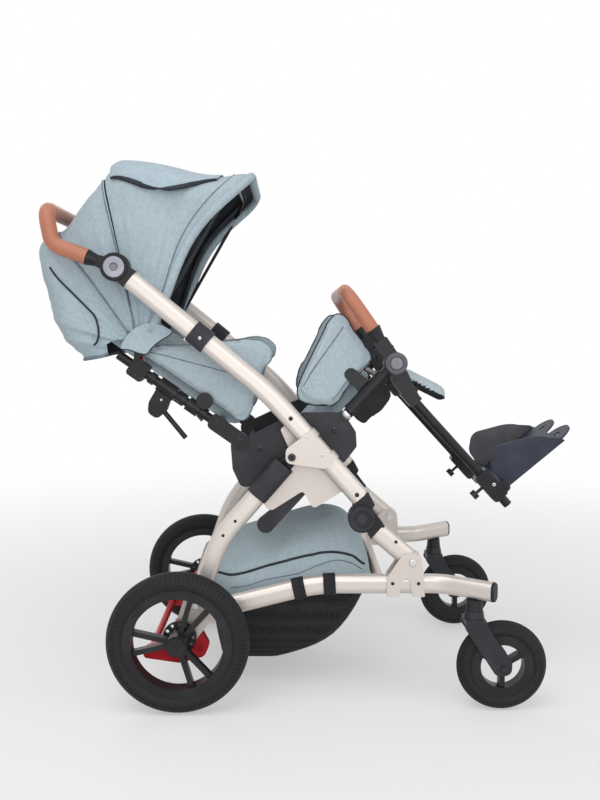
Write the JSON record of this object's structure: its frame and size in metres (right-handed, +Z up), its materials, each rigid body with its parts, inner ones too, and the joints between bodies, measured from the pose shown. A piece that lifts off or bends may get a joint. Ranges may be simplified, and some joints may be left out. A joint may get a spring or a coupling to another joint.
{
  "type": "special needs stroller",
  "caption": "Folding special needs stroller: champagne tube frame, rear wheels, front casters, tilting seat with reclining back, canopy, grab bar, leg rest, foot plate and zipped basket.",
  "frame": {"origin": "middle of the bounding box on the floor plane", "axes": "+X forward, +Y to the sitter's left, +Z up"},
  "size_m": [1.1883, 0.627, 1.1538],
  "materials": {
    "champagne_aluminium": "satin anodised champagne",
    "black_plastic": "fine moulded grain",
    "charcoal_plastic": "moulded satin",
    "steel": "zinc plated",
    "black_steel": "satin powder coat",
    "tyre_rubber": "foam rubber",
    "rim_plastic": "moulded satin",
    "blue_fabric": "woven polyester melange",
    "black_mesh": "open knit mesh",
    "webbing": "woven webbing",
    "tan_leather": "stitched leatherette",
    "red_plastic": "moulded gloss",
    "grey_plastic": "moulded satin",
    "footplate_plastic": "moulded with grip liner"
  },
  "bodies": {
    "base": {"base_rail_left": "champagne_aluminium", "base_rail_right": "champagne_aluminium", "frame_brackets": "champagne_aluminium", "axle_and_bolts": "steel", "cross_tubes": "champagne_aluminium", "rail_ends_and_housings": "black_plastic", "basket_tub": "black_mesh", "basket_cover": "blue_fabric", "basket_straps": "webbing"},
    "rear_wheel_left": {"rear_tyre_left": "tyre_rubber", "rear_rim_left": "rim_plastic", "rear_bearings_left": "steel"},
    "rear_wheel_right": {"rear_tyre_right": "tyre_rubber", "rear_rim_right": "rim_plastic", "rear_bearings_right": "steel"},
    "caster_left": {"caster_fork_left": "black_plastic"},
    "caster_right": {"caster_fork_right": "black_plastic"},
    "front_wheel_left": {"front_tyre_left": "tyre_rubber", "front_rim_left": "rim_plastic"},
    "front_wheel_right": {"front_tyre_right": "tyre_rubber", "front_rim_right": "rim_plastic"},
    "brake": {"brake_pedal": "red_plastic"},
    "rear_legs": {"rear_leg_left": "champagne_aluminium", "rear_leg_right": "champagne_aluminium", "leg_links": "black_steel"},
    "sleeve_left": {"lock_sleeve_left": "charcoal_plastic"},
    "sleeve_right": {"lock_sleeve_right": "charcoal_plastic"},
    "front_links": {"front_link_left": "champagne_aluminium", "front_link_right": "champagne_aluminium", "lower_knuckles": "black_plastic"},
    "push_frame": {"push_tube_left": "champagne_aluminium", "push_tube_right": "champagne_aluminium", "upper_knuckles": "black_plastic", "gusset_plates": "champagne_aluminium", "seat_plates": "champagne_aluminium", "seat_pivot_tube": "black_steel", "tube_sleeves": "charcoal_plastic", "handle_plugs": "black_plastic"},
    "handle": {"handle_hubs": "black_plastic", "handle_bar": "black_steel", "handle_grip": "tan_leather"},
    "button_left": {"handle_button_left": "grey_plastic"},
    "button_right": {"handle_button_right": "grey_plastic"},
    "seat": {"seat_shell": "charcoal_plastic", "seat_tubes": "black_steel", "seat_cushion": "blue_fabric", "seat_wings": "blue_fabric"},
    "lever": {"tilt_lever": "charcoal_plastic"},
    "backrest": {"back_frame": "black_steel", "back_cushion": "blue_fabric", "back_wings": "blue_fabric", "canopy_shell": "blue_fabric"},
    "visor": {"canopy_front": "blue_fabric", "canopy_bow": "black_steel"},
    "grab": {"grab_clamps": "black_plastic", "grab_bar": "tan_leather"},
    "legrest": {"legrest_frame": "black_steel", "calf_pad": "blue_fabric"},
    "foot_slide": {"foot_bracket": "black_steel"},
    "foot": {"footplate": "footplate_plastic"}
  },
  "joints": [
    {"name": "rear_wheel_left_spin", "type": "hinge", "parent": "base", "child": "rear_wheel_left", "pos_m": [-0.274, 0.2825, 0.15], "axis": [0, 1, 0], "continuous": true},
    {"name": "caster_left_swivel", "type": "hinge", "parent": "base", "child": "caster_left", "pos_m": [0.347, 0.268, 0.212], "axis": [0, 0, 1], "continuous": true},
    {"name": "front_wheel_left_spin", "type": "hinge", "parent": "caster_left", "child": "front_wheel_left", "pos_m": [0.406, 0.268, 0.095], "axis": [0, 1, 0], "continuous": true},
    {"name": "rear_wheel_right_spin", "type": "hinge", "parent": "base", "child": "rear_wheel_right", "pos_m": [-0.274, -0.2825, 0.15], "axis": [0, 1, 0], "continuous": true},
    {"name": "caster_right_swivel", "type": "hinge", "parent": "base", "child": "caster_right", "pos_m": [0.347, -0.268, 0.212], "axis": [0, 0, 1], "continuous": true},
    {"name": "front_wheel_right_spin", "type": "hinge", "parent": "caster_right", "child": "front_wheel_right", "pos_m": [0.406, -0.268, 0.095], "axis": [0, 1, 0], "continuous": true},
    {"name": "brake_press", "type": "hinge", "parent": "base", "child": "brake", "pos_m": [-0.274, 0, 0.15], "axis": [0, 1, 0], "range_deg": [0, 12]},
    {"name": "frame_fold", "type": "hinge", "parent": "base", "child": "front_links", "pos_m": [0.22, 0, 0.307], "axis": [0, 1, 0], "range_deg": [0, 60], "deforming": ["basket_cover"]},
    {"name": "push_frame_fold", "type": "hinge", "parent": "front_links", "child": "push_frame", "pos_m": [0.1125, 0, 0.4006], "axis": [0, 1, 0], "range_deg": [-98, 0]},
    {"name": "rear_leg_fold", "type": "hinge", "parent": "base", "child": "rear_legs", "pos_m": [-0.241, 0, 0.214], "axis": [0, 1, 0], "range_deg": [0, 16.9]},
    {"name": "lock_left_slide", "type": "slide", "parent": "rear_legs", "child": "sleeve_left", "axis": [-0.6543, 0, -0.7562], "range_m": [0, 0.035]},
    {"name": "lock_right_slide", "type": "slide", "parent": "rear_legs", "child": "sleeve_right", "axis": [-0.6543, 0, -0.7562], "range_m": [0, 0.035]},
    {"name": "handle_turn", "type": "hinge", "parent": "push_frame", "child": "handle", "pos_m": [-0.402, 0, 0.9285], "axis": [0, 1, 0], "range_deg": [-30, 0], "deforming": ["canopy_shell"]},
    {"name": "button_left_press", "type": "slide", "parent": "handle", "child": "button_left", "axis": [0, -1, 0], "range_m": [0, 0.0025], "stiffness_N_per_m": 400},
    {"name": "button_right_press", "type": "slide", "parent": "handle", "child": "button_right", "axis": [0, 1, 0], "range_m": [0, 0.0025], "stiffness_N_per_m": 400},
    {"name": "seat_tilt", "type": "hinge", "parent": "push_frame", "child": "seat", "pos_m": [-0.012, 0, 0.5], "axis": [0, 1, 0], "range_deg": [0, 15]},
    {"name": "lever_lift", "type": "hinge", "parent": "push_frame", "child": "lever", "pos_m": [0.004, 0, 0.47], "axis": [0, 1, 0], "range_deg": [0, 12]},
    {"name": "back_recline", "type": "hinge", "parent": "seat", "child": "backrest", "pos_m": [-0.1475, 0, 0.5627], "axis": [0, 1, 0], "range_deg": [-20, 0]},
    {"name": "visor_fold", "type": "hinge", "parent": "backrest", "child": "visor", "pos_m": [-0.36, 0, 0.76], "axis": [0, 1, 0], "range_deg": [-28, 0], "deforming": ["canopy_front"]},
    {"name": "grab_bar_turn", "type": "hinge", "parent": "seat", "child": "grab", "pos_m": [0.18518, 0, 0.72832], "axis": [0, 1, 0], "range_deg": [0, 70]},
    {"name": "legrest_lift", "type": "hinge", "parent": "seat", "child": "legrest", "pos_m": [0.18518, 0, 0.72832], "axis": [0, 1, 0], "range_deg": [-45, 0]},
    {"name": "foot_length", "type": "slide", "parent": "legrest", "child": "foot_slide", "axis": [0.673, 0, -0.7396], "range_m": [-0.08, 0]},
    {"name": "foot_angle", "type": "hinge", "parent": "foot_slide", "child": "foot", "pos_m": [0.43333, 0, 0.45116], "axis": [0, 1, 0], "range_deg": [-20, 10]}
  ],
  "couplings": [
    {"joint": "push_frame_fold", "follows": "frame_fold", "ratio": -1.6333},
    {"joint": "rear_leg_fold", "follows": "frame_fold", "ratio": 0.28167}
  ]
}
